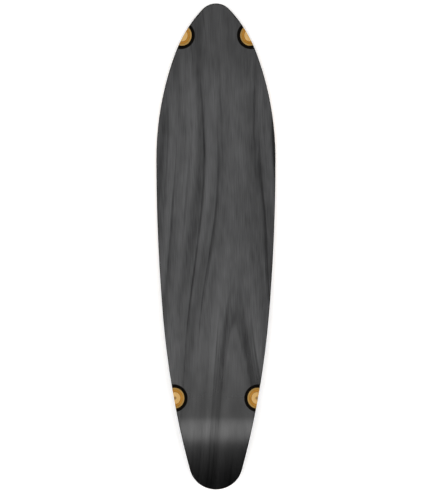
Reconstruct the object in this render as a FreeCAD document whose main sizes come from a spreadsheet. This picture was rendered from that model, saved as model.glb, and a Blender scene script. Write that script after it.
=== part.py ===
import FreeCAD, Part
import math
import os
import Sketcher

# Longboard deck: seven sheets of maple veneer pressed together in a mould, cut to the outline, rounded at the
# edge and dished for the wheels, with grip tape on the riding face. It isn't drilled for trucks yet.
# The deck lies on its riding face, with the underside up.
# X runs across the deck, Y along it with the nose at +Y, and Z points up out of the underside.

# Driving sizes in millimetres, and two angles in degrees.
# Lengths "from nose" and "from tail" are measured along the deck, from that tip.
SIZES = [
    ("deck_length", 1016, "overall length, tip to tip"),
    ("deck_width", 249, "width at the widest place"),
    ("widest_from_nose", 324, "place of the widest section"),
    ("nose_radius", 38, "outline at the nose tip"),
    ("nose_angle", 43.6, "between the outline and the centre line, where the nose tip's arc ends"),
    ("shoulder_from_nose", 102, "where the outline behind the nose runs on into the side"),
    ("tail_radius", 56, "outline at the tail tip"),
    ("tail_angle", 15, "between the outline and the centre line, where the tail tip's arc ends"),
    ("hip_from_tail", 366, "where the outline ahead of the tail runs on into the side"),
    ("ply_thickness", 1.6, "one pressed veneer"),
    ("flat_width", 90, "flat strip along the middle of the concave"),
    ("concave_radius", 320, "underside of the concave, flat strip to rail"),
    ("kick_length", 154, "kicktail, from where it starts to bend to the tail tip"),
    ("kick_radius", 500, "underside of the kicktail's bend"),
    ("edge_radius", 3, "rounding along both edges"),
    ("front_axle_from_nose", 66.5, "front wheel wells"),
    ("rear_axle_from_tail", 192.5, "rear wheel wells"),
    ("front_well_from_side", 51.7, "centres of the front wells, in from the side of the widest section"),
    ("rear_well_from_side", 36.5, "centres of the rear wells, in from the side of the widest section"),
    ("well_radius", 28.5, "wheel well at the underside"),
    ("well_depth", 6.3, "wheel well at its centre"),
    ("well_lip_radius", 16, "rounded lip of a wheel well"),
    ("tape_thickness", 0.9, "grip tape with its grit"),
    ("tape_margin", 4.5, "bare edge round the grip tape"),
    ("trim_margin", 6, "waste that the sheets leave round the outline"),
]

# The layup, from the underside to the riding face.
LAYUP = [
    "underside_face_ply",
    "underside_long_ply",
    "underside_cross_ply",
    "core_ply",
    "riding_cross_ply",
    "riding_long_ply",
    "riding_face_ply",
]

# Shared expressions on the sheet of sizes.
UNDERSIDE = "0"
RIDING_FACE = f"{len(LAYUP)} * sizes.ply_thickness"
NOSE_TIP = "sizes.deck_length / 2"
WIDEST_FROM_TIP = {"nose": "sizes.widest_from_nose", "tail": "(sizes.deck_length - sizes.widest_from_nose)"}
JOINT_FROM_TIP = {"nose": "sizes.shoulder_from_nose", "tail": "sizes.hip_from_tail"}
AXLE_BEHIND_MIDDLE = {
    "front": f"sizes.front_axle_from_nose - {NOSE_TIP}",
    "rear": f"{NOSE_TIP} - sizes.rear_axle_from_tail",
}

doc = FreeCAD.newDocument("longboard_deck")
sheet = doc.addObject("Spreadsheet::Sheet", "sizes")
for row, (alias, value, meaning) in enumerate(SIZES, start=1):
    sheet.set(f"A{row}", meaning)
    sheet.set(f"B{row}", str(value))
    sheet.setAlias(f"B{row}", alias)
doc.recompute()


def size(expression):
    """The present value of an expression on the sheet of sizes."""
    return float(sheet.evalExpression(expression))


def bind(thing, bindings):
    """Bind properties of an object to expressions on the sheet."""
    for path, expression in bindings.items():
        thing.setExpression(path, expression)


def origin(body, role):
    """A plane or axis of a body's own origin."""
    for feature in body.Origin.OriginFeatures:
        if feature.Role == role:
            return feature
    raise RuntimeError(f"{body.Name} has no {role}")


def new_sketch(body, name, role):
    """A sketch on one of a body's origin planes."""
    sketch = body.newObject("Sketcher::SketchObject", f"{body.Name}_{name}")
    sketch.AttachmentSupport = [(origin(body, role), "")]
    sketch.MapMode = "FlatFace"
    return sketch


def dimension(sketch, expression, kind, *places):
    """A sketch dimension that follows an expression on the sheet."""
    value = float(sketch.evalExpression(expression))
    index = sketch.addConstraint(Sketcher.Constraint(kind, *places, value))
    sketch.setExpression(f"Constraints[{index}]", expression)


def relate(sketch, kind, *places):
    """A sketch constraint without a size."""
    sketch.addConstraint(Sketcher.Constraint(kind, *places))


def line(sketch, start, end, construction=False):
    """A line in a sketch."""
    segment = Part.LineSegment(FreeCAD.Vector(*start, 0), FreeCAD.Vector(*end, 0))
    return sketch.addGeometry(segment, construction)


def arc(sketch, centre, radius, start_angle, end_angle):
    """An arc in a sketch, counter-clockwise between two angles in radians."""
    circle = Part.Circle(FreeCAD.Vector(*centre, 0), FreeCAD.Vector(0, 0, 1), radius)
    return sketch.addGeometry(Part.ArcOfCircle(circle, start_angle, end_angle), False)


# Names for a sketch's own points and axes, as its constraints number them.
START = 1
END = 2
CENTRE = 3
X_AXIS = -1
Y_AXIS = -2
ROOT = (-1, 1)


def section_sketch(body, upper, lower):
    """Cross-section of a pressed sheet between two depths under the underside.

    A flat strip runs on into an arc on each side, down to a rail. The arcs of all sheets share their
    centres. A construction line marks the axis that the kicktail bends about.
    """
    sketch = new_sketch(body, "section", "XZ_Plane")
    bind(sketch, {"AttachmentOffset.Base.z": f"{NOSE_TIP} - sizes.kick_length"})
    flat = size("sizes.flat_width") / 2
    reach = size("sizes.deck_width / 2 + sizes.trim_margin")
    concave = size("sizes.concave_radius")
    axis_drop = -size("sizes.kick_radius")
    axis = line(sketch, (-flat, axis_drop), (flat, axis_drop), True)
    relate(sketch, "Symmetric", axis, START, axis, END, Y_AXIS)
    dimension(sketch, "sizes.flat_width", "DistanceX", axis, START, axis, END)
    dimension(sketch, "sizes.kick_radius", "DistanceY", axis, START, *ROOT)
    ends = {}
    for depth in (upper, lower):
        drop = size(depth)
        radius = concave - drop
        tilt = math.acos((reach - flat) / radius)
        middle = line(sketch, (-flat, -drop), (flat, -drop))
        right = arc(sketch, (flat, -concave), radius, tilt, math.pi / 2)
        left = arc(sketch, (-flat, -concave), radius, math.pi / 2, math.pi - tilt)
        relate(sketch, "Symmetric", middle, START, middle, END, Y_AXIS)
        dimension(sketch, "sizes.flat_width", "DistanceX", middle, START, middle, END)
        dimension(sketch, f"sizes.kick_radius - ({depth})", "DistanceY", axis, START, middle, START)
        relate(sketch, "Tangent", middle, END, right, END)
        relate(sketch, "Tangent", middle, START, left, START)
        for side in (right, left):
            dimension(sketch, f"sizes.concave_radius - ({depth})", "Radius", side)
        rail = -concave + radius * math.sin(tilt)
        ends[depth] = (right, left, rail)
    upper_right, upper_left, upper_rail = ends[upper]
    lower_right, lower_left, lower_rail = ends[lower]
    right_end = line(sketch, (reach, upper_rail), (reach, lower_rail))
    left_end = line(sketch, (-reach, upper_rail), (-reach, lower_rail))
    half_width = "sizes.deck_width / 2 + sizes.trim_margin"
    for end, top, bottom, at in (
        (right_end, upper_right, lower_right, START),
        (left_end, upper_left, lower_left, END),
    ):
        relate(sketch, "Vertical", end)
        relate(sketch, "Coincident", end, START, top, at)
        relate(sketch, "Coincident", end, END, bottom, at)
    dimension(sketch, half_width, "DistanceX", *ROOT, right_end, START)
    dimension(sketch, half_width, "DistanceX", left_end, START, *ROOT)
    return sketch


def pressed_sheet(name, upper, lower):
    """A sheet as it leaves the mould: straight from nose to kick, then bent round the kick's axis."""
    body = doc.addObject("PartDesign::Body", name)
    section = section_sketch(body, upper, lower)
    doc.recompute()
    flat_run = body.newObject("PartDesign::Pad", f"{name}_flat_run")
    flat_run.Profile = section
    flat_run.Reversed = True
    bind(flat_run, {"Length": "sizes.deck_length - sizes.kick_length + sizes.trim_margin"})
    doc.recompute()
    kick = body.newObject("PartDesign::Revolution", f"{name}_kick")
    kick.Profile = section
    kick.ReferenceAxis = (section, ["Axis0"])
    shortest_radius = f"(sizes.kick_radius - {RIDING_FACE} - sizes.tape_thickness - sizes.edge_radius)"
    bind(kick, {"Angle": f"asin((sizes.kick_length + 2 * sizes.trim_margin) / {shortest_radius})"})
    doc.recompute()
    if kick.Shape.BoundBox.YMin > -size(NOSE_TIP):
        raise RuntimeError(f"{name} bends away from the tail")
    return body


def joint_angle(tip_angle, flank_run, side_run, rise):
    """Angle to the centre line at the joint of the flank's arc and the side's arc, in radians.

    The flank starts at the tip's angle and the side ends along the centre line. Over their runs along the deck
    they rise by flank_run * tan((tip_angle + angle) / 2) + side_run * tan(angle / 2), which makes a quadratic
    equation for tan(angle / 2).
    """
    tip = math.tan(tip_angle / 2)
    square = side_run * tip
    linear = flank_run + side_run + rise * tip
    constant = rise - flank_run * tip
    return 2 * math.atan((linear - math.sqrt(linear**2 - 4 * square * constant)) / (2 * square))


def end_arcs(sketch, end, inset):
    """The outline's three arcs at one end, on the right: round the tip, along the flank and along the side.

    They run on into each other. The flank and the side take their radii from the places where they meet.
    """
    sign = 1 if end == "nose" else -1
    half_length = size(NOSE_TIP)
    half_width = size("sizes.deck_width / 2") - inset
    widest = size(WIDEST_FROM_TIP[end])
    joint = size(JOINT_FROM_TIP[end])
    tip_radius = size(f"sizes.{end}_radius") - inset
    tip_angle = math.radians(size(f"sizes.{end}_angle"))
    flank_start = inset + tip_radius * (1 - math.sin(tip_angle))
    tip_rise = tip_radius * math.cos(tip_angle)
    flank_run = joint - flank_start
    side_run = widest - joint
    turn = joint_angle(tip_angle, flank_run, side_run, half_width - tip_rise)
    flank_radius = flank_run / (math.sin(tip_angle) - math.sin(turn))
    side_radius = side_run / math.sin(turn)
    flank_in = tip_rise - flank_radius * math.cos(tip_angle)
    flank_back = flank_start + flank_radius * math.sin(tip_angle)
    arcs = []
    for across, from_tip, radius, first, last in (
        (0, inset + tip_radius, tip_radius, tip_angle, math.pi / 2),
        (flank_in, flank_back, flank_radius, turn, tip_angle),
        (half_width - side_radius, widest, side_radius, 0, turn),
    ):
        centre = (across, sign * (half_length - from_tip))
        arcs.append(arc(sketch, centre, radius, *sorted((sign * first, sign * last))))
    return arcs


def half_outline(sketch, inset):
    """The right half of the outline, from nose tip to tail tip. The inset moves the whole of it inwards.

    Returns the first and last arc.
    """
    nose, front_flank, bow = end_arcs(sketch, "nose", size(inset))
    tail, rear_flank, belly = end_arcs(sketch, "tail", size(inset))
    outline = [nose, front_flank, bow, belly, rear_flank, tail]
    for before, after in zip(outline, outline[1:]):
        relate(sketch, "Tangent", before, START, after, END)
    relate(sketch, "Horizontal", bow, START, bow, CENTRE)
    half_length = f"{NOSE_TIP} - ({inset})"
    dimension(sketch, half_length, "DistanceY", *ROOT, nose, END)
    dimension(sketch, half_length, "DistanceY", tail, START, *ROOT)
    dimension(sketch, f"sizes.deck_width / 2 - ({inset})", "DistanceX", *ROOT, bow, START)
    dimension(sketch, f"{WIDEST_FROM_TIP['nose']} - ({inset})", "DistanceY", bow, START, nose, END)
    dimension(sketch, f"{JOINT_FROM_TIP['nose']} - ({inset})", "DistanceY", front_flank, START, nose, END)
    dimension(sketch, f"{JOINT_FROM_TIP['tail']} - ({inset})", "DistanceY", tail, START, belly, START)
    for end, tip, point, inner in (("nose", nose, END, START), ("tail", tail, START, END)):
        radius = f"(sizes.{end}_radius - ({inset}))"
        relate(sketch, "PointOnObject", tip, CENTRE, Y_AXIS)
        relate(sketch, "PointOnObject", tip, point, Y_AXIS)
        dimension(sketch, radius, "Radius", tip)
        dimension(sketch, f"{radius} * cos(sizes.{end}_angle)", "DistanceX", *ROOT, tip, inner)
    return nose, tail


def trim_to_outline(body, inset):
    """Saw a pressed sheet to the outline: the waste of the right half, mirrored to the left."""
    sketch = new_sketch(body, "waste", "XY_Plane")
    nose, tail = half_outline(sketch, inset)
    beyond_side = "sizes.deck_width / 2 + 2 * sizes.trim_margin"
    beyond_tip = f"{NOSE_TIP} + 5 * sizes.trim_margin"
    far_x = size(beyond_side)
    far_y = size(beyond_tip)
    tip_y = size(f"{NOSE_TIP} - ({inset})")
    corners = [(0, tip_y), (0, far_y), (far_x, far_y), (far_x, -far_y), (0, -far_y), (0, -tip_y)]
    frame = [line(sketch, start, end) for start, end in zip(corners, corners[1:])]
    for before, after in zip(frame, frame[1:]):
        relate(sketch, "Coincident", before, END, after, START)
    relate(sketch, "Coincident", frame[0], START, nose, END)
    relate(sketch, "Coincident", frame[4], END, tail, START)
    for upright in (frame[0], frame[2], frame[4]):
        relate(sketch, "Vertical", upright)
    for level in (frame[1], frame[3]):
        relate(sketch, "Horizontal", level)
    dimension(sketch, beyond_tip, "DistanceY", *ROOT, frame[1], START)
    dimension(sketch, beyond_tip, "DistanceY", frame[3], START, *ROOT)
    dimension(sketch, beyond_side, "DistanceX", *ROOT, frame[2], START)
    doc.recompute()
    saw = body.newObject("PartDesign::Pocket", f"{body.Name}_saw")
    saw.Profile = sketch
    saw.Type = "ThroughAll"
    doc.recompute()
    return mirror(body, "outline", [saw])


def mirror(body, name, features):
    """Repeat features of the right half on the left half."""
    mirrored = body.newObject("PartDesign::Mirrored", f"{body.Name}_{name}")
    mirrored.Originals = features
    mirrored.MirrorPlane = (origin(body, "YZ_Plane"), [""])
    body.Tip = mirrored
    doc.recompute()
    return mirrored


def round_edges(body, shaped):
    """Round both edges of the outline over."""
    shape = shaped.Shape
    edges = []
    for number, edge in enumerate(shape.Edges, start=1):
        upright = [is_wall(face) for face in shape.ancestorsOfType(edge, Part.Face)]
        if sorted(upright) == [False, True]:
            edges.append(f"Edge{number}")
    rounding = body.newObject("PartDesign::Fillet", f"{body.Name}_edges")
    rounding.Base = (shaped, edges)
    bind(rounding, {"Radius": "sizes.edge_radius"})
    body.Tip = rounding
    doc.recompute()
    return rounding


def is_wall(face):
    """Whether a face stands upright along the outline."""
    surface = face.Surface
    return isinstance(surface, Part.Cylinder) and abs(surface.Axis.z) > 0.999


def well_sketch(body, end):
    """Profile of the right wheel well at one end, turned about its own upright axis.

    A rounded lip runs from the underside into a bowl. The profile leans with the concave, so that the lip
    meets the underside at the rail and at the well's inner rim alike.
    """
    sketch = new_sketch(body, f"{end}_well", "XZ_Plane")
    across = f"(sizes.deck_width / 2 - sizes.{end}_well_from_side)"
    inner_half = f"({across} - sizes.well_radius / 2 - sizes.flat_width / 2)"
    lean = f"asin({inner_half} / sizes.concave_radius)"
    fall = f"sizes.concave_radius * (1 - cos({lean}))"
    sag = "(sizes.well_radius / 2) ^ 2 / (2 * sizes.concave_radius)"
    bind(
        sketch,
        {
            "AttachmentOffset.Base.x": across,
            "AttachmentOffset.Base.y": f"-({fall}) - sizes.well_radius / 2 * tan({lean}) - {sag}",
            "AttachmentOffset.Base.z": AXLE_BEHIND_MIDDLE[end],
            "AttachmentOffset.Rotation.Angle": f"-{lean}",
        },
    )
    radius = size("sizes.well_radius")
    depth = size("sizes.well_depth")
    lip = size("sizes.well_lip_radius")
    above = size("sizes.trim_margin")
    slope = 2 * math.atan(depth / radius)
    bowl = radius / math.sin(slope) - lip
    bowl_arc = arc(sketch, (0, bowl - depth), bowl, -math.pi / 2, slope - math.pi / 2)
    lip_arc = arc(sketch, (radius, -lip), lip, math.pi / 2, math.pi / 2 + slope)
    corners = [(radius, 0), (radius, above), (0, above), (0, -depth)]
    rim, top, axis = (line(sketch, start, end) for start, end in zip(corners, corners[1:]))
    relate(sketch, "Tangent", bowl_arc, END, lip_arc, END)
    relate(sketch, "PointOnObject", bowl_arc, CENTRE, Y_AXIS)
    relate(sketch, "PointOnObject", bowl_arc, START, Y_AXIS)
    relate(sketch, "Vertical", lip_arc, CENTRE, lip_arc, START)
    relate(sketch, "Coincident", lip_arc, START, rim, START)
    relate(sketch, "Coincident", rim, END, top, START)
    relate(sketch, "Coincident", top, END, axis, START)
    relate(sketch, "Coincident", axis, END, bowl_arc, START)
    relate(sketch, "PointOnObject", lip_arc, START, X_AXIS)
    relate(sketch, "Vertical", rim)
    relate(sketch, "Horizontal", top)
    relate(sketch, "Vertical", axis)
    dimension(sketch, "sizes.well_radius", "DistanceX", *ROOT, rim, START)
    dimension(sketch, "sizes.well_depth", "DistanceY", bowl_arc, START, *ROOT)
    dimension(sketch, "sizes.well_lip_radius", "Radius", lip_arc)
    dimension(sketch, "sizes.trim_margin", "DistanceY", *ROOT, top, START)
    return sketch


def cut_wells(body):
    """Dish the wheel wells on the right, at the front and at the rear."""
    wells = []
    for end in ("front", "rear"):
        sketch = well_sketch(body, end)
        doc.recompute()
        before = body.Shape.Volume
        well = body.newObject("PartDesign::Groove", f"{body.Name}_{end}_groove")
        well.Profile = sketch
        well.ReferenceAxis = (sketch, ["V_Axis"])
        well.Angle = 360
        doc.recompute()
        if well.Shape.Volume >= before:
            raise RuntimeError(f"the {end} wheel well cuts nothing")
        wells.append(well)
    return wells


def shaped_deck():
    """The whole pressed block, cut, rounded and dished as one."""
    body = pressed_sheet("deck_block", UNDERSIDE, RIDING_FACE)
    outline = trim_to_outline(body, "0")
    round_edges(body, outline)
    mirror(body, "left_wells", cut_wells(body))
    return body


def ply(name, number, deck):
    """One veneer of the shaped deck. The two face plies take their outer face from the block."""
    upper = f"{number} * sizes.ply_thickness"
    lower = f"{number + 1} * sizes.ply_thickness"
    if number == 0:
        upper = "-sizes.trim_margin"
    if number == len(LAYUP) - 1:
        lower = f"{RIDING_FACE} + sizes.trim_margin"
    veneer = pressed_sheet(f"{name}_veneer", upper, lower)
    piece = doc.addObject("Part::Common", name)
    piece.Base = deck
    piece.Tool = veneer
    return piece


def grip_tape():
    """The abrasive sheet on the riding face, trimmed inside the rounded edge."""
    body = pressed_sheet("grip_tape", RIDING_FACE, f"{RIDING_FACE} + sizes.tape_thickness")
    trim_to_outline(body, "sizes.tape_margin")
    return body


def stand_on_floor(piece):
    """Lift a piece so that the lowest place, the grip tape at the tail tip, lies at zero height."""
    tape_radius = f"(sizes.kick_radius - {RIDING_FACE} - sizes.tape_thickness)"
    tape_end = "(sizes.kick_length - sizes.tape_margin)"
    bind(piece, {"Placement.Base.z": f"sizes.kick_radius - sqrt({tape_radius} ^ 2 - {tape_end} ^ 2)"})


deck = shaped_deck()
pieces = [ply(name, number, deck) for number, name in enumerate(LAYUP)]
pieces.append(grip_tape())
for piece in pieces:
    piece.Label = piece.Name
    stand_on_floor(piece)
doc.recompute()

for thing in doc.Objects:
    if {"Invalid", "Error"} & set(thing.State):
        raise RuntimeError(f"{thing.Name} failed: {thing.State}")
for piece in pieces:
    if piece.Shape.isNull() or not piece.Shape.isValid() or len(piece.Shape.Solids) != 1:
        raise RuntimeError(f"{piece.Label} is not one sound solid")

os.makedirs("parts", exist_ok=True)
for piece in pieces:
    piece.Shape.exportStep(os.path.join("parts", f"{piece.Label}.step"))
    print(f"{piece.Label}: {piece.Shape.Volume / 1000:.1f} cm3, {len(piece.Shape.Faces)} faces")
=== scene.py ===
"""A longboard deck, underside up on a pale studio floor.

The frame gives the deck's eight sheets: seven maple veneers and the grip tape. Their shapes stay as they are,
and each gets the finish of its real material. Lengths are in metres. X runs across the deck, Y towards the
nose and Z up out of the underside.
"""

import math

import bpy
import numpy as np
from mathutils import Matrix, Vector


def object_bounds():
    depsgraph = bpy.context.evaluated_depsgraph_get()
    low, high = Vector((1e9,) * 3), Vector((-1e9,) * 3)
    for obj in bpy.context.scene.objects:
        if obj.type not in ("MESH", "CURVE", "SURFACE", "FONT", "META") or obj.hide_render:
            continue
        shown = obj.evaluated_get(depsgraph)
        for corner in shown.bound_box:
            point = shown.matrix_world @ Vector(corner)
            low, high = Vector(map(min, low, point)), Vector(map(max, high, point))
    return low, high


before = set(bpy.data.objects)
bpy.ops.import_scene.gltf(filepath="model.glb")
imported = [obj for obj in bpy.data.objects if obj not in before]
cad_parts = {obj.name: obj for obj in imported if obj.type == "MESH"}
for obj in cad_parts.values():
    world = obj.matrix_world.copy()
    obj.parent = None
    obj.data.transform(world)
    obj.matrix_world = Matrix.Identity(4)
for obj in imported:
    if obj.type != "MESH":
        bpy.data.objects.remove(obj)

bl_info = {
    "name": "Longboard Deck",
    "version": (1, 0, 0),
    "blender": (4, 5, 0),
    "location": "3D View > Sidebar > Deck",
    "description": "Finishes a pressed longboard deck and sets it on a studio floor",
    "category": "Object",
}

MM = 0.001
CAD_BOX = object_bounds()
TAIL = CAD_BOX[0][1]
NOSE = CAD_BOX[1][1]
FLOOR = CAD_BOX[0][2]
UNDERSIDE = CAD_BOX[1][2]

# The photograph's height and the deck's length in it, and how far its middle lies from the deck's, in pixels.
IMAGE_HEIGHT = 495
DECK_PIXELS = 487.3
MIDDLE_RIGHT = 1.57
MIDDLE_DOWN = 0.55

# Most of a noise texture lies between these values.
NOISE_LOW = 0.3
NOISE_HIGH = 0.7


def linear(colour):
    """An sRGB hex colour as linear red, green and blue."""
    values = [int(colour[start : start + 2], 16) / 255 for start in (1, 3, 5)]
    return tuple(v / 12.92 if v <= 0.04045 else ((v + 0.055) / 1.055) ** 2.4 for v in values)


def once_per(across, along, through=1.0):
    """Scales that repeat a pattern once per these lengths across, along and through a veneer."""
    return 1 / across, 1 / along, 1 / through


# Fibres of cut wood. Real ones are finer than a pixel, so these are about three times as coarse.
CUT_FIBRES = once_per(1.3 * MM, 45 * MM, 0.8 * MM)


def add_node(tree, kind, inputs=None, output=0, **settings):
    """Add a node, set it, link or fill its inputs, and return one of its outputs."""
    node = tree.nodes.new(kind)
    for name, value in settings.items():
        setattr(node, name, value)
    for name, value in (inputs or {}).items():
        if isinstance(value, bpy.types.NodeSocket):
            tree.links.new(value, node.inputs[name])
        else:
            node.inputs[name].default_value = value
    return node.outputs[output] if node.outputs else node


def new_material(name):
    """A material with an empty node tree, and the tree."""
    material = bpy.data.materials.new(name)
    material.use_nodes = True
    material.node_tree.nodes.clear()
    return material, material.node_tree


def give(material, *sheets):
    """Put a material on some of the frame's sheets."""
    for sheet in sheets:
        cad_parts[sheet].material_slots[0].material = material


def flat_stack(tree, shape):
    """Undo the press: where each place lay across, along and down in the flat stack of veneers.

    The kick turns the deck's cross-section about a line kick_radius under the face, and the concave turns
    each side of it about a line concave_radius under the face. So about either line, the angle times its
    radius is a length along the veneer, and what the place's own distance lacks of that radius is its depth
    under the face.
    """
    place = add_node(tree, "ShaderNodeTexCoord", output="Object")
    across, along, up = add_node(tree, "ShaderNodeSeparateXYZ", {0: place}).node.outputs

    past = add_node(tree, "ShaderNodeMath", {0: TAIL + shape.kick_length, 1: along}, operation="SUBTRACT")
    past = add_node(tree, "ShaderNodeMath", {0: past, 1: 0.0}, operation="MAXIMUM")
    above = add_node(tree, "ShaderNodeMath", {0: up, 1: shape.kick_radius - UNDERSIDE}, operation="ADD")
    spoke = add_node(tree, "ShaderNodeCombineXYZ", {0: past, 1: above})
    distance = add_node(tree, "ShaderNodeVectorMath", {0: spoke}, "Value", operation="LENGTH")
    angle = add_node(tree, "ShaderNodeMath", {0: past, 1: above}, operation="ARCTAN2")
    flat_along = add_node(tree, "ShaderNodeMath", {0: along, 1: past}, operation="ADD")
    flat_along = add_node(
        tree, "ShaderNodeMath", {0: angle, 1: -shape.kick_radius, 2: flat_along}, operation="MULTIPLY_ADD"
    )

    side = add_node(tree, "ShaderNodeMath", {0: across}, operation="ABSOLUTE")
    past = add_node(tree, "ShaderNodeMath", {0: side, 1: shape.flat_width / 2}, operation="SUBTRACT")
    past = add_node(tree, "ShaderNodeMath", {0: past, 1: 0.0}, operation="MAXIMUM")
    above = add_node(
        tree, "ShaderNodeMath", {0: distance, 1: shape.concave_radius - shape.kick_radius}, operation="ADD"
    )
    spoke = add_node(tree, "ShaderNodeCombineXYZ", {0: past, 1: above})
    distance = add_node(tree, "ShaderNodeVectorMath", {0: spoke}, "Value", operation="LENGTH")
    angle = add_node(tree, "ShaderNodeMath", {0: past, 1: above}, operation="ARCTAN2")
    flat_side = add_node(tree, "ShaderNodeMath", {0: side, 1: past}, operation="SUBTRACT")
    flat_side = add_node(
        tree, "ShaderNodeMath", {0: angle, 1: shape.concave_radius, 2: flat_side}, operation="MULTIPLY_ADD"
    )
    sign = add_node(tree, "ShaderNodeMath", {0: across}, operation="SIGN")
    flat_across = add_node(tree, "ShaderNodeMath", {0: flat_side, 1: sign}, operation="MULTIPLY")
    depth = add_node(tree, "ShaderNodeMath", {0: shape.concave_radius, 1: distance}, operation="SUBTRACT")
    return flat_across, flat_along, depth


def in_wells(tree, shape):
    """1 in the sanded wheel wells and 0 elsewhere, by the distance to the nearest well's centre in plan."""
    place = add_node(tree, "ShaderNodeTexCoord", output="Object")
    across, along, _ = add_node(tree, "ShaderNodeSeparateXYZ", {0: place}).node.outputs
    side = add_node(tree, "ShaderNodeMath", {0: across}, operation="ABSOLUTE")
    folded = add_node(tree, "ShaderNodeCombineXYZ", {0: side, 1: along})
    front, rear = (
        add_node(tree, "ShaderNodeVectorMath", {0: folded, 1: (*well, 0.0)}, "Value", operation="DISTANCE")
        for well in (shape.front_well, shape.rear_well)
    )
    nearest = add_node(tree, "ShaderNodeMath", {0: front, 1: rear}, operation="MINIMUM")
    soft_edge = 0.3 * MM
    return add_node(
        tree,
        "ShaderNodeMapRange",
        {"Value": nearest, "From Min": shape.well_radius, "From Max": shape.well_radius - soft_edge},
    )


def natural_veneer(name, pale, late, scene, across_deck=False, stained_edge=False):
    """Sliced maple, sanded where the deck is cut: satin, with soft growth bands, fibres and short dark pores.

    Pale and late are the colours of its early and late wood. Its grain may run across the deck, and its edge
    may have taken the stain that ran over the deck's rounding. The patterns are solid, so a cut along the
    grain shows lines and one across it shows the ends of the fibres.
    """
    shape = scene.deck_shape
    finish = scene.deck_finish
    material, tree = new_material(name)
    flat_across, flat_along, depth = flat_stack(tree, shape)
    if across_deck:
        flat_across, flat_along = flat_along, flat_across
    place = add_node(tree, "ShaderNodeCombineXYZ", {0: flat_across, 1: flat_along, 2: depth})

    # Growth bands are about 9 mm apart on the slice. Pores are finer than a pixel, so they are drawn coarser,
    # as the fibres are, and only the highest parts of their noise show.
    bands = add_node(tree, "ShaderNodeMapping", {0: place, "Scale": once_per(9 * MM, 260 * MM, 4 * MM)})
    bands = add_node(tree, "ShaderNodeTexNoise", {"Vector": bands, "Scale": 1.0, "Detail": 2.0})
    fibres = add_node(tree, "ShaderNodeMapping", {0: place, "Scale": CUT_FIBRES})
    fibres = add_node(tree, "ShaderNodeTexNoise", {"Vector": fibres, "Scale": 1.0, "Detail": 2.0})
    pores = add_node(tree, "ShaderNodeMapping", {0: place, "Scale": once_per(0.8 * MM, 7 * MM, 0.8 * MM)})
    pores = add_node(tree, "ShaderNodeTexNoise", {"Vector": pores, "Scale": 1.0, "Detail": 0.0})
    pores = add_node(tree, "ShaderNodeMapRange", {"Value": pores, "From Min": 0.64, "From Max": 0.74})

    # Early wood is 0 and late wood is 1: each pattern adds its share to a level.
    tone = -0.55
    for pattern, share in ((bands, 1.3), (fibres, 0.8), (pores, 0.5)):
        tone = add_node(tree, "ShaderNodeMath", {0: pattern, 1: share, 2: tone}, operation="MULTIPLY_ADD")
    colour = add_node(
        tree, "ShaderNodeMix", {"Factor": tone, "A": (*pale, 1), "B": (*late, 1)}, "Result", data_type="RGBA"
    )

    # Glue soaks into the deeper face of each veneer and darkens it, from 85 % of the way down. It shows as
    # thin lines at the edge, and as a spot where a well all but wears a veneer through.
    layer = add_node(tree, "ShaderNodeMath", {0: depth, 1: 1 / shape.ply_thickness}, operation="MULTIPLY")
    down = add_node(tree, "ShaderNodeMath", {0: layer}, operation="FRACT")
    soaked = add_node(
        tree, "ShaderNodeMapRange", {"Value": down, "From Min": 0.85, "From Max": 0.94, "To Max": 0.95}
    )
    colour = add_node(
        tree,
        "ShaderNodeMix",
        {"Factor": soaked, "A": colour, "B": (*finish.glue, 1)},
        "Result",
        data_type="RGBA",
    )
    if stained_edge:
        bare = in_wells(tree, shape)
        colour = add_node(
            tree,
            "ShaderNodeMix",
            {"Factor": bare, "A": (*finish.dye, 1), "B": colour},
            "Result",
            data_type="RGBA",
        )
    roughness = add_node(
        tree,
        "ShaderNodeMapRange",
        {"Value": fibres, "From Min": NOISE_LOW, "From Max": NOISE_HIGH, "To Min": 0.5, "To Max": 0.7},
    )
    relief = add_node(tree, "ShaderNodeBump", {"Height": fibres, "Strength": 0.5, "Distance": 0.06 * MM})
    shader = add_node(
        tree,
        "ShaderNodeBsdfPrincipled",
        {"Base Color": colour, "Roughness": roughness, "Specular IOR Level": 0.1, "Normal": relief},
    )
    add_node(tree, "ShaderNodeOutputMaterial", {"Surface": shader})
    return material


class DeckShape(bpy.types.PropertyGroup):
    """Sizes of the pressed deck, as the frame has them"""

    flat_width: bpy.props.FloatProperty(
        name="Flat width", description="Flat strip along the middle", default=90 * MM, unit="LENGTH"
    )
    concave_radius: bpy.props.FloatProperty(
        name="Concave radius", description="From the flat strip to the rail", default=320 * MM, unit="LENGTH"
    )
    kick_length: bpy.props.FloatProperty(
        name="Kick length",
        description="From the start of the bend to the tail",
        default=154 * MM,
        unit="LENGTH",
    )
    kick_radius: bpy.props.FloatProperty(
        name="Kick radius", description="Bend of the kicktail", default=500 * MM, unit="LENGTH"
    )
    ply_thickness: bpy.props.FloatProperty(
        name="Ply thickness", description="One pressed veneer", default=1.6 * MM, unit="LENGTH"
    )
    well_radius: bpy.props.FloatProperty(
        name="Well radius",
        description="Sanded ring round a wheel well, a little wider than its rim",
        default=29.1 * MM,
        unit="LENGTH",
    )
    front_well: bpy.props.FloatVectorProperty(
        name="Front well",
        description="Centre of the right front well, across and along the deck",
        size=2,
        default=(72.8 * MM, NOSE - 66.5 * MM),
        unit="LENGTH",
    )
    rear_well: bpy.props.FloatVectorProperty(
        name="Rear well",
        description="Centre of the right rear well, across and along the deck",
        size=2,
        default=(88 * MM, TAIL + 192.5 * MM),
        unit="LENGTH",
    )


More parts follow.
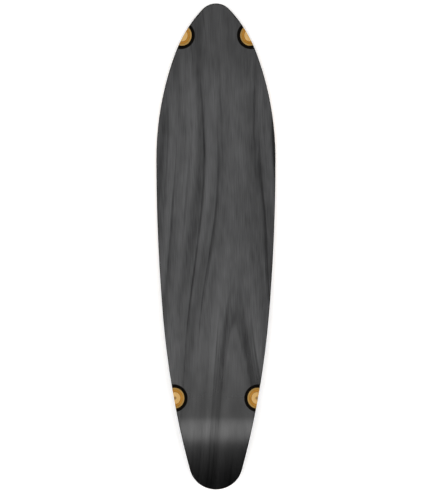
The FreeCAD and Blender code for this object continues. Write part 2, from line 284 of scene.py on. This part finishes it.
class DeckFinish(bpy.types.PropertyGroup):
    """Colours of the veneers and the tape, and the sizes of their patterns"""

    stain_pale: bpy.props.FloatVectorProperty(
        name="Stain, pale",
        description="Fibres of the face that took little stain",
        size=3,
        default=linear("#4B4B4C"),
        subtype="COLOR",
    )
    stain_dark: bpy.props.FloatVectorProperty(
        name="Stain, dark",
        description="Fibres of the face that took much stain",
        size=3,
        default=linear("#141415"),
        subtype="COLOR",
    )
    # Painted shade: this near black darkens the face across the kick, for the tail bending away from the
    # light, and darkens it a little towards the nose.
    kick_shade_nose_dark_colour: bpy.props.FloatVectorProperty(
        name="Stain, thick",
        description="Face where the stain hides the grain",
        size=3,
        default=linear("#030303"),
        subtype="COLOR",
    )
    dye: bpy.props.FloatVectorProperty(
        name="Dye",
        description="Black veneer where it is cut",
        size=3,
        default=linear("#0A0806"),
        subtype="COLOR",
    )
    dye_fibre: bpy.props.FloatVectorProperty(
        name="Dye, fibres",
        description="Fibres of the dyed veneer that stay brownish",
        size=3,
        default=linear("#2A221C"),
        subtype="COLOR",
    )
    core_pale: bpy.props.FloatVectorProperty(
        name="Core, early wood",
        description="Pale bands of the middle veneer",
        size=3,
        default=linear("#CCA86E"),
        subtype="COLOR",
    )
    core_late: bpy.props.FloatVectorProperty(
        name="Core, late wood",
        description="Darker bands of the middle veneer",
        size=3,
        default=linear("#B68E50"),
        subtype="COLOR",
    )
    long_pale: bpy.props.FloatVectorProperty(
        name="Long veneer, early wood",
        description="Pale bands of the lengthwise veneers",
        size=3,
        default=linear("#A8864C"),
        subtype="COLOR",
    )
    long_late: bpy.props.FloatVectorProperty(
        name="Long veneer, late wood",
        description="Darker bands of the lengthwise veneers",
        size=3,
        default=linear("#886832"),
        subtype="COLOR",
    )
    cross_pale: bpy.props.FloatVectorProperty(
        name="Cross veneer, early wood",
        description="Pale bands of the cross veneers",
        size=3,
        default=linear("#AC7A30"),
        subtype="COLOR",
    )
    cross_late: bpy.props.FloatVectorProperty(
        name="Cross veneer, late wood",
        description="Darker bands of the cross veneers",
        size=3,
        default=linear("#92621C"),
        subtype="COLOR",
    )
    glue: bpy.props.FloatVectorProperty(
        name="Glue",
        description="Wood that the glue has soaked into",
        size=3,
        default=linear("#4A2E14"),
        subtype="COLOR",
    )
    grit: bpy.props.FloatVectorProperty(
        name="Grit", description="Bed of the grip tape", size=3, default=linear("#151517"), subtype="COLOR"
    )
    # Painted glint: a lighter grey for the grains that catch the light.
    glint_colour: bpy.props.FloatVectorProperty(
        name="Spark",
        description="Bright grains of the grip tape",
        size=3,
        default=linear("#6A6A70"),
        subtype="COLOR",
    )
    streak_width: bpy.props.FloatProperty(
        name="Streak width", description="Broad streaks of the stained face", default=28 * MM, unit="LENGTH"
    )
    line_width: bpy.props.FloatProperty(
        name="Line width", description="Dark lines of the stained face", default=9 * MM, unit="LENGTH"
    )
    fibre_width: bpy.props.FloatProperty(
        name="Fibre width", description="Fine lines of the stained face", default=2 * MM, unit="LENGTH"
    )
    grit_size: bpy.props.FloatProperty(
        name="Grit size", description="Grains of the grip tape", default=0.9 * MM, unit="LENGTH"
    )


class DeckStudio(bpy.types.PropertyGroup):
    """The floor, the lights and the camera"""

    floor_colour: bpy.props.FloatVectorProperty(
        name="Floor", description="Paper floor", size=3, default=linear("#F4F4F4"), subtype="COLOR"
    )
    floor_glow: bpy.props.FloatProperty(
        name="Floor glow", description="Light that comes through the paper", default=0.26
    )
    camera_height: bpy.props.FloatProperty(
        name="Camera height", description="From the deck to the camera", default=6.0, unit="LENGTH"
    )
    strip_height: bpy.props.FloatProperty(
        name="Strip height", description="From the floor to the strip light", default=7.0, unit="LENGTH"
    )
    strip_behind: bpy.props.FloatProperty(
        name="Strip distance",
        description="From the deck's middle to the strip light, towards the tail",
        default=1.58,
        unit="LENGTH",
    )
    strip_length: bpy.props.FloatProperty(
        name="Strip length", description="Strip light, across the deck", default=9.0, unit="LENGTH"
    )
    strip_width: bpy.props.FloatProperty(
        name="Strip width", description="Strip light, along the deck", default=1.35, unit="LENGTH"
    )
    strip_glow: bpy.props.FloatProperty(
        name="Strip glow", description="Brightness of the strip light", default=3.9
    )
    lamp_strength: bpy.props.FloatProperty(
        name="Lamp strength", description="Each of the two lamps at the sides", default=1.45
    )
    lamp_tilt: bpy.props.FloatProperty(
        name="Lamp tilt",
        description="The side lamps, from straight overhead",
        default=math.radians(50),
        subtype="ANGLE",
    )
    lamp_spread: bpy.props.FloatProperty(
        name="Lamp spread",
        description="How broad the side lamps look from the deck",
        default=math.radians(60),
        subtype="ANGLE",
    )
    ceiling_glow: bpy.props.FloatProperty(
        name="Ceiling glow", description="Brightness of the studio overhead", default=0.83
    )
    horizon_glow: bpy.props.FloatProperty(
        name="Horizon glow", description="Brightness of the studio at the horizon", default=1.08
    )


class DECK_OT_stain_underside(bpy.types.Operator):
    """Stain the underside's face veneer black and lacquer it"""

    bl_idname = "deck.stain_underside"
    bl_label = "Stain the Underside"

    def execute(self, context):
        shape = context.scene.deck_shape
        finish = context.scene.deck_finish

        # Sliced maple, stained black and sprayed with satin lacquer: charcoal figure under a soft even gloss.
        # Where the deck is cut or rounded, the veneer shows its dye, matt and near black.
        material, tree = new_material("black stained maple")
        flat_across, flat_along, depth = flat_stack(tree, shape)
        stain_ends, dye_starts = 0.35 * MM, 0.6 * MM
        cut = add_node(
            tree,
            "ShaderNodeMapRange",
            {"Value": depth, "From Min": stain_ends, "From Max": dye_starts},
            interpolation_type="SMOOTHSTEP",
        )
        cut = add_node(tree, "ShaderNodeMath", {0: cut, 1: in_wells(tree, shape)}, operation="MAXIMUM")

        # A slice through bowed growth rings shows nested arches that open away from the bow. So a ring's
        # number is hypot(across - pith, depth of the pith) - taper * hypot(along - bow, length of the bow),
        # and it wanders to either side.
        pith_across, pith_depth = 46 * MM, 16 * MM
        bow_along, bow_length, taper = 220 * MM, 160 * MM, 0.11
        wander_reach = 9 * MM
        flat = add_node(tree, "ShaderNodeCombineXYZ", {0: flat_across, 1: flat_along})
        wander = add_node(tree, "ShaderNodeMapping", {0: flat, "Scale": once_per(200 * MM, 360 * MM)})
        wander = add_node(
            tree, "ShaderNodeTexNoise", {"Vector": wander, "Scale": 1.0, "Detail": 1.0, "Roughness": 0.3}
        )
        wander = add_node(
            tree,
            "ShaderNodeMapRange",
            {
                "Value": wander,
                "From Min": 0.25,
                "From Max": 0.75,
                "To Min": -wander_reach,
                "To Max": wander_reach,
            },
        )
        bent = add_node(tree, "ShaderNodeMath", {0: flat_across, 1: wander}, operation="ADD")
        from_pith = add_node(tree, "ShaderNodeMath", {0: bent, 1: pith_across}, operation="SUBTRACT")
        pith = add_node(tree, "ShaderNodeCombineXYZ", {0: from_pith, 1: pith_depth})
        pith = add_node(tree, "ShaderNodeVectorMath", {0: pith}, "Value", operation="LENGTH")
        from_bow = add_node(tree, "ShaderNodeMath", {0: flat_along, 1: bow_along}, operation="SUBTRACT")
        bow = add_node(tree, "ShaderNodeCombineXYZ", {0: from_bow, 1: bow_length})
        bow = add_node(tree, "ShaderNodeVectorMath", {0: bow}, "Value", operation="LENGTH")
        ring = add_node(tree, "ShaderNodeMath", {0: bow, 1: -taper, 2: pith}, operation="MULTIPLY_ADD")

        # Streaks and lines follow the rings. Each ring is slid along its neighbour, so that their ends don't
        # line up across the deck. The starts choose a part of the noise.
        ring_slide = 9.0
        streak_start, line_start = (5.4, 1.1, 0.0), (11.3, 2.2, 0.0)
        slid = add_node(
            tree, "ShaderNodeMath", {0: ring, 1: ring_slide, 2: flat_along}, operation="MULTIPLY_ADD"
        )
        ring = add_node(tree, "ShaderNodeCombineXYZ", {0: ring, 1: slid})
        scale = once_per(finish.streak_width, 450 * MM)
        streaks = add_node(tree, "ShaderNodeMapping", {0: ring, "Location": streak_start, "Scale": scale})
        streaks = add_node(
            tree, "ShaderNodeTexNoise", {"Vector": streaks, "Scale": 1.0, "Detail": 2.0, "Roughness": 0.4}
        )
        scale = once_per(finish.line_width, 700 * MM)
        lines = add_node(tree, "ShaderNodeMapping", {0: ring, "Location": line_start, "Scale": scale})
        lines = add_node(tree, "ShaderNodeTexNoise", {"Vector": lines, "Scale": 1.0, "Detail": 1.0})
        lines = add_node(
            tree,
            "ShaderNodeMapRange",
            {"Value": lines, "From Min": 0.57, "From Max": 0.7},
            interpolation_type="SMOOTHSTEP",
        )

        # Real fibres are far finer than a pixel, so these are as coarse as they need to be to show. They are
        # slid as the rings are.
        fibre_slide = 11.0
        slid = add_node(
            tree, "ShaderNodeMath", {0: flat_across, 1: fibre_slide, 2: flat_along}, operation="MULTIPLY_ADD"
        )
        slid = add_node(tree, "ShaderNodeCombineXYZ", {0: flat_across, 1: slid})
        scale = once_per(finish.fibre_width, 40 * MM)
        fibres = add_node(tree, "ShaderNodeMapping", {0: slid, "Scale": scale})
        fibres = add_node(tree, "ShaderNodeTexNoise", {"Vector": fibres, "Scale": 1.0, "Detail": 2.0})

        # The wood takes stain unevenly in soft patches, and the heartwood along the right side takes more.
        mottle = add_node(tree, "ShaderNodeMapping", {0: flat, "Scale": once_per(16 * MM, 44 * MM)})
        mottle = add_node(tree, "ShaderNodeTexNoise", {"Vector": mottle, "Scale": 1.0, "Detail": 1.0})
        heart = add_node(
            tree,
            "ShaderNodeMapRange",
            {"Value": flat_across, "From Min": 30 * MM, "From Max": 85 * MM, "To Max": -0.16},
            interpolation_type="SMOOTHSTEP",
        )

        # Much stain is 0 and little stain is 1: each pattern adds its share to a level.
        tone = -0.635
        for pattern, share in ((streaks, 1.2), (mottle, 0.36), (fibres, 0.62), (lines, -0.3)):
            tone = add_node(
                tree, "ShaderNodeMath", {0: pattern, 1: share, 2: tone}, operation="MULTIPLY_ADD"
            )
        tone = add_node(tree, "ShaderNodeMath", {0: tone, 1: heart}, operation="ADD")
        colour = add_node(
            tree,
            "ShaderNodeMix",
            {"Factor": tone, "A": (*finish.stain_dark, 1), "B": (*finish.stain_pale, 1)},
            "Result",
            data_type="RGBA",
        )

        # The colour darkens across the kick, and a little towards the nose. Across the kick this is painted
        # shade, for the tail bending away from the light. Each end has the place where the darkening starts,
        # the place where it is full and how dark it gets there.
        kick, nose = (
            add_node(
                tree,
                "ShaderNodeMapRange",
                {"Value": flat_along, "From Min": start, "From Max": full, "To Max": darkest},
                interpolation_type="SMOOTHSTEP",
            )
            for start, full, darkest in (
                (TAIL + 305 * MM, TAIL + 160 * MM, 0.88),
                (NOSE - 190 * MM, NOSE - 100 * MM, 0.33),
            )
        )
        kick_shade_nose_dark = add_node(tree, "ShaderNodeMath", {0: kick, 1: nose}, operation="MAXIMUM")
        # Mix in the painted shade across the kick and the darkening at the nose, then the dye where the
        # veneer is cut.
        for part, cover in ((kick_shade_nose_dark, finish.kick_shade_nose_dark_colour), (cut, finish.dye)):
            colour = add_node(
                tree,
                "ShaderNodeMix",
                {"Factor": part, "A": colour, "B": (*cover, 1)},
                "Result",
                data_type="RGBA",
            )

        # The lacquer sinks into the open grain, so it is less glossy there, and a cut has none. Across the
        # kick the gloss is also turned down as painted shade, and a little towards the nose: (0.47 + 0.5 *
        # tone) * (1 - 0.13 * darkening) * (1 - cut).
        lacquer = add_node(tree, "ShaderNodeMath", {0: tone, 1: 0.5, 2: 0.47}, operation="MULTIPLY_ADD")
        dull = add_node(tree, "ShaderNodeMath", {0: kick_shade_nose_dark, 1: -0.13, 2: 1.0}, operation="MULTIPLY_ADD")
        lacquer = add_node(tree, "ShaderNodeMath", {0: lacquer, 1: dull}, operation="MULTIPLY")
        whole = add_node(tree, "ShaderNodeMath", {0: 1.0, 1: cut}, operation="SUBTRACT")
        lacquer = add_node(tree, "ShaderNodeMath", {0: lacquer, 1: whole}, operation="MULTIPLY")
        roughness = add_node(
            tree,
            "ShaderNodeMapRange",
            {"Value": fibres, "From Min": NOISE_LOW, "From Max": NOISE_HIGH, "To Min": 0.6, "To Max": 0.8},
        )

        # The lacquer levels out on the pressed curve, so its gloss takes the curve's own normal. That leans
        # by the angles of the press: x = sin(side), y = -cos(side) * sin(kick), z = cos(side) * cos(kick).
        # A cut keeps the mesh's normal.
        half_flat = shape.flat_width / 2
        on_flat = add_node(
            tree, "ShaderNodeClamp", {"Value": flat_across, "Min": -half_flat, "Max": half_flat}
        )
        lean = add_node(tree, "ShaderNodeMath", {0: flat_across, 1: on_flat}, operation="SUBTRACT")
        lean = add_node(tree, "ShaderNodeMath", {0: lean, 1: shape.concave_radius}, operation="DIVIDE")
        kick_start = TAIL + shape.kick_length
        turn = add_node(tree, "ShaderNodeMath", {0: kick_start, 1: flat_along}, operation="SUBTRACT")
        turn = add_node(tree, "ShaderNodeMath", {0: turn, 1: 0.0}, operation="MAXIMUM")
        turn = add_node(tree, "ShaderNodeMath", {0: turn, 1: -1 / shape.kick_radius}, operation="MULTIPLY")
        upright = add_node(tree, "ShaderNodeMath", {0: lean}, operation="COSINE")
        sideways = add_node(tree, "ShaderNodeMath", {0: lean}, operation="SINE")
        back = add_node(tree, "ShaderNodeMath", {0: turn}, operation="SINE")
        back = add_node(tree, "ShaderNodeMath", {0: back, 1: upright}, operation="MULTIPLY")
        rise = add_node(tree, "ShaderNodeMath", {0: turn}, operation="COSINE")
        rise = add_node(tree, "ShaderNodeMath", {0: rise, 1: upright}, operation="MULTIPLY")
        pressed = add_node(tree, "ShaderNodeCombineXYZ", {0: sideways, 1: back, 2: rise})
        pressed = add_node(
            tree,
            "ShaderNodeVectorTransform",
            {0: pressed},
            vector_type="NORMAL",
            convert_from="OBJECT",
            convert_to="WORLD",
        )
        cut_normal = add_node(tree, "ShaderNodeNewGeometry", output="Normal")
        normal = add_node(
            tree,
            "ShaderNodeMix",
            {"Factor": cut, "A": pressed, "B": cut_normal},
            "Result",
            data_type="VECTOR",
        )
        relief = add_node(
            tree,
            "ShaderNodeBump",
            {"Height": fibres, "Strength": 0.5, "Distance": 0.03 * MM, "Normal": normal},
        )
        shader = add_node(
            tree,
            "ShaderNodeBsdfPrincipled",
            {
                "Base Color": colour,
                "Roughness": roughness,
                "Specular IOR Level": 0.02,
                "Normal": relief,
                "Coat Weight": lacquer,
                "Coat Roughness": 0.18,
                "Coat IOR": 1.6,
                "Coat Normal": relief,
            },
        )
        add_node(tree, "ShaderNodeOutputMaterial", {"Surface": shader})
        give(material, "underside_face_ply")
        return {"FINISHED"}


class DECK_OT_finish_long_plies(bpy.types.Operator):
    """Give the natural veneers with their grain along the deck their finish"""

    bl_idname = "deck.finish_long_plies"
    bl_label = "Finish the Lengthwise Veneers"

    def execute(self, context):
        scene = context.scene
        finish = scene.deck_finish
        core = natural_veneer("pale maple", finish.core_pale, finish.core_late, scene)
        give(core, "core_ply")
        outer = natural_veneer("tan maple", finish.long_pale, finish.long_late, scene)
        give(outer, "riding_long_ply")
        edged = natural_veneer(
            "tan maple, stained edge", finish.long_pale, finish.long_late, scene, stained_edge=True
        )
        give(edged, "underside_long_ply")
        return {"FINISHED"}


class DECK_OT_finish_cross_plies(bpy.types.Operator):
    """Give the natural veneers with their grain across the deck their finish"""

    bl_idname = "deck.finish_cross_plies"
    bl_label = "Finish the Cross Veneers"

    def execute(self, context):
        scene = context.scene
        finish = scene.deck_finish
        cross = natural_veneer("brown maple", finish.cross_pale, finish.cross_late, scene, across_deck=True)
        give(cross, "underside_cross_ply", "riding_cross_ply")
        return {"FINISHED"}


class DECK_OT_dye_riding_face(bpy.types.Operator):
    """Dye the riding face's veneer black"""

    bl_idname = "deck.dye_riding_face"
    bl_label = "Dye the Riding Face"

    def execute(self, context):
        shape = context.scene.deck_shape
        finish = context.scene.deck_finish

        # Maple dyed through and sanded: near black, satin, with fine brownish fibres.
        material, tree = new_material("black dyed maple")
        flat_across, flat_along, depth = flat_stack(tree, shape)
        place = add_node(tree, "ShaderNodeCombineXYZ", {0: flat_across, 1: flat_along, 2: depth})
        fibres = add_node(tree, "ShaderNodeMapping", {0: place, "Scale": CUT_FIBRES})
        fibres = add_node(tree, "ShaderNodeTexNoise", {"Vector": fibres, "Scale": 1.0, "Detail": 2.0})
        tone = add_node(tree, "ShaderNodeMapRange", {"Value": fibres, "From Min": 0.35, "From Max": 0.75})
        colour = add_node(
            tree,
            "ShaderNodeMix",
            {"Factor": tone, "A": (*finish.dye, 1), "B": (*finish.dye_fibre, 1)},
            "Result",
            data_type="RGBA",
        )
        roughness = add_node(
            tree,
            "ShaderNodeMapRange",
            {"Value": fibres, "From Min": NOISE_LOW, "From Max": NOISE_HIGH, "To Min": 0.45, "To Max": 0.65},
        )
        relief = add_node(tree, "ShaderNodeBump", {"Height": fibres, "Strength": 0.5, "Distance": 0.06 * MM})
        shader = add_node(
            tree,
            "ShaderNodeBsdfPrincipled",
            {"Base Color": colour, "Roughness": roughness, "Specular IOR Level": 0.3, "Normal": relief},
        )
        add_node(tree, "ShaderNodeOutputMaterial", {"Surface": shader})
        give(material, "riding_face_ply")
        return {"FINISHED"}


class DECK_OT_lay_grip_tape(bpy.types.Operator):
    """Cover the grip tape with grit"""

    bl_idname = "deck.lay_grip_tape"
    bl_label = "Lay the Grip Tape"

    def execute(self, context):
        finish = context.scene.deck_finish

        # Silicon carbide grit in black resin: a rough matt bed with single smoother grains. Real grit is
        # about 0.2 mm, so the grains are drawn coarser to show. One in five is smoother and painted lighter,
        # a painted glint for grains catching the light.
        material, tree = new_material("silicon carbide grit")
        place = add_node(tree, "ShaderNodeTexCoord", output="Object")
        grains = add_node(
            tree, "ShaderNodeTexVoronoi", {"Vector": place, "Scale": 1 / finish.grit_size}, "Distance"
        )
        pick = add_node(tree, "ShaderNodeSeparateColor", {0: grains.node.outputs["Color"]})
        glinting = add_node(tree, "ShaderNodeMapRange", {"Value": pick, "From Min": 0.8, "From Max": 1.0})

        # Soft scuffs, some 60 mm across, make the bed a little paler in places.
        scuffs = add_node(tree, "ShaderNodeMapping", {0: place, "Scale": once_per(60 * MM, 60 * MM)})
        scuffs = add_node(tree, "ShaderNodeTexNoise", {"Vector": scuffs, "Scale": 1.0, "Detail": 3.0})
        scuffs = add_node(
            tree, "ShaderNodeMapRange", {"Value": scuffs, "From Min": 0.3, "From Max": 0.8, "To Max": 0.12}
        )
        tone = add_node(tree, "ShaderNodeMath", {0: glinting, 1: 0.7, 2: scuffs}, operation="MULTIPLY_ADD")
        colour = add_node(
            tree,
            "ShaderNodeMix",
            {"Factor": tone, "A": (*finish.grit, 1), "B": (*finish.glint_colour, 1)},
            "Result",
            data_type="RGBA",
        )
        roughness = add_node(tree, "ShaderNodeMapRange", {"Value": glinting, "To Min": 0.9, "To Max": 0.4})
        height = add_node(tree, "ShaderNodeMath", {0: 1.0, 1: grains}, operation="SUBTRACT")
        relief = add_node(tree, "ShaderNodeBump", {"Height": height, "Strength": 0.8, "Distance": 0.3 * MM})
        shader = add_node(
            tree,
            "ShaderNodeBsdfPrincipled",
            {"Base Color": colour, "Roughness": roughness, "Specular IOR Level": 0.4, "Normal": relief},
        )
        add_node(tree, "ShaderNodeOutputMaterial", {"Surface": shader})
        give(material, "grip_tape")
        return {"FINISHED"}


class DECK_OT_set_studio(bpy.types.Operator):
    """Set the deck on a pale floor under soft light, with the camera straight above it"""

    bl_idname = "deck.set_studio"
    bl_label = "Set the Studio"

    def execute(self, context):
        scene = context.scene
        studio = scene.deck_studio

        # The long side of the image is the sensor's width.
        pixel = (NOSE - TAIL) / DECK_PIXELS
        data = bpy.data.cameras.new("camera")
        data.lens = data.sensor_width * studio.camera_height / (IMAGE_HEIGHT * pixel)
        camera = bpy.data.objects.new("camera", data)
        camera.location = (MIDDLE_RIGHT * pixel, -MIDDLE_DOWN * pixel, UNDERSIDE + studio.camera_height)
        scene.collection.objects.link(camera)
        scene.camera = camera

        # The deck rests on the tip of its tail and on its rails, so the floor rises from the tail until it
        # meets the rails: the least slope from the tail's lowest point to any place in the front half.
        slope = math.inf
        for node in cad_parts.values():
            places = np.empty(3 * len(node.data.vertices), np.float32)
            node.data.vertices.foreach_get("co", places)
            places = places.reshape(-1, 3)
            front = places[places[:, 1] > 0]
            slope = min(slope, np.min((front[:, 2] - FLOOR) / (front[:, 1] - TAIL)))
        reach, clearance = 40, 0.5 * MM
        x = reach * np.array([-1, 1, 1, -1])
        y = reach * np.array([-1, -1, 1, 1])
        z = FLOOR + slope * (y - TAIL) - clearance
        mesh = bpy.data.meshes.new("floor")
        mesh.from_pydata(np.stack([x, y, z], 1).tolist(), [], [(0, 1, 2, 3)])
        floor = bpy.data.objects.new("floor", mesh)
        scene.collection.objects.link(floor)

        # White paper on a light table: matt, and glowing a little, so the shadow stays faint.
        material, tree = new_material("white paper")
        shader = add_node(
            tree,
            "ShaderNodeBsdfPrincipled",
            {
                "Base Color": (*studio.floor_colour, 1),
                "Roughness": 0.9,
                "Specular IOR Level": 0.0,
                "Emission Color": (1, 1, 1, 1),
                "Emission Strength": studio.floor_glow,
            },
        )
        add_node(tree, "ShaderNodeOutputMaterial", {"Surface": shader})
        mesh.materials.append(material)

        # A strip across the deck lights the bend of the kick. Two broad lamps far off at the sides bring out
        # the colours, and leave no gloss.
        data = bpy.data.lights.new("strip", "AREA")
        data.shape = "RECTANGLE"
        data.size = studio.strip_length
        data.size_y = studio.strip_width
        data.energy = studio.strip_glow * math.pi * data.size * data.size_y
        strip = bpy.data.objects.new("strip", data)
        strip.location = (0, -studio.strip_behind, studio.strip_height)
        strip.visible_camera = False
        scene.collection.objects.link(strip)
        for name, tilt in (("left", -studio.lamp_tilt), ("right", studio.lamp_tilt)):
            data = bpy.data.lights.new(name, "SUN")
            data.energy = studio.lamp_strength
            data.angle = studio.lamp_spread
            lamp = bpy.data.objects.new(name, data)
            lamp.rotation_euler = (0, tilt, 0)
            lamp.visible_glossy = False
            scene.collection.objects.link(lamp)

        # The studio is white at the horizon. Its ceiling is bright overhead and falls off as a square, fast
        # towards the tail and slowly towards the rails, so the kick falls off to black. Narrowed directions
        # make it wide across the deck, and the shift sets it a little to the left.
        narrow, shift = (0.62, 1.0, 1.0), (0.03, 0.0, 0.0)
        ceiling_edge, ceiling_full, falloff = 0.8, 0.965, 2.0
        horizon_full, horizon_edge = 0.2, 0.6
        world = bpy.data.worlds.new("studio")
        world.use_nodes = True
        scene.world = world
        tree = world.node_tree
        tree.nodes.clear()
        way = add_node(tree, "ShaderNodeTexCoord", output="Generated")
        wide = add_node(
            tree, "ShaderNodeVectorMath", {0: way, 1: narrow, 2: shift}, operation="MULTIPLY_ADD"
        )
        wide = add_node(tree, "ShaderNodeVectorMath", {0: wide}, operation="NORMALIZE")
        up = add_node(tree, "ShaderNodeSeparateXYZ", {0: wide}, "Z")
        ceiling = add_node(
            tree, "ShaderNodeMapRange", {"Value": up, "From Min": ceiling_edge, "From Max": ceiling_full}
        )
        ceiling = add_node(tree, "ShaderNodeMath", {0: ceiling, 1: falloff}, operation="POWER")
        up = add_node(tree, "ShaderNodeSeparateXYZ", {0: way}, "Z")
        horizon = add_node(
            tree,
            "ShaderNodeMapRange",
            {
                "Value": up,
                "From Min": horizon_full,
                "From Max": horizon_edge,
                "To Min": studio.horizon_glow,
                "To Max": 0.0,
            },
            interpolation_type="SMOOTHSTEP",
        )
        strength = add_node(
            tree, "ShaderNodeMath", {0: ceiling, 1: studio.ceiling_glow, 2: horizon}, operation="MULTIPLY_ADD"
        )
        background = add_node(tree, "ShaderNodeBackground", {"Strength": strength, "Color": (1, 1, 1, 1)})
        add_node(tree, "ShaderNodeOutputWorld", {"Surface": background})
        scene.view_settings.view_transform = "Standard"
        return {"FINISHED"}


GROUPS = {"deck_shape": DeckShape, "deck_finish": DeckFinish, "deck_studio": DeckStudio}
OPERATORS = (
    DECK_OT_stain_underside,
    DECK_OT_finish_long_plies,
    DECK_OT_finish_cross_plies,
    DECK_OT_dye_riding_face,
    DECK_OT_lay_grip_tape,
    DECK_OT_set_studio,
)


class DECK_PT_sidebar(bpy.types.Panel):
    """Lists the deck's settings and the steps that use them"""

    bl_idname = "DECK_PT_sidebar"
    bl_label = "Longboard Deck"
    bl_space_type = "VIEW_3D"
    bl_region_type = "UI"
    bl_category = "Deck"

    def draw(self, context):
        for name, group in GROUPS.items():
            box = self.layout.box()
            for setting in group.__annotations__:
                box.prop(getattr(context.scene, name), setting)
        for operator in OPERATORS:
            self.layout.operator(operator.bl_idname)


CLASSES = (*GROUPS.values(), *OPERATORS, DECK_PT_sidebar)


def register():
    """Register the classes and hang the settings on the scene."""
    for cls in CLASSES:
        bpy.utils.register_class(cls)
    for name, group in GROUPS.items():
        setattr(bpy.types.Scene, name, bpy.props.PointerProperty(type=group))


def unregister():
    """Take the settings and the classes away again."""
    for name in GROUPS:
        delattr(bpy.types.Scene, name)
    for cls in reversed(CLASSES):
        bpy.utils.unregister_class(cls)


def main():
    """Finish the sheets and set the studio."""
    register()
    bpy.ops.deck.stain_underside()
    bpy.ops.deck.finish_long_plies()
    bpy.ops.deck.finish_cross_plies()
    bpy.ops.deck.dye_riding_face()
    bpy.ops.deck.lay_grip_tape()
    bpy.ops.deck.set_studio()


if __name__ == "__main__":
    main()
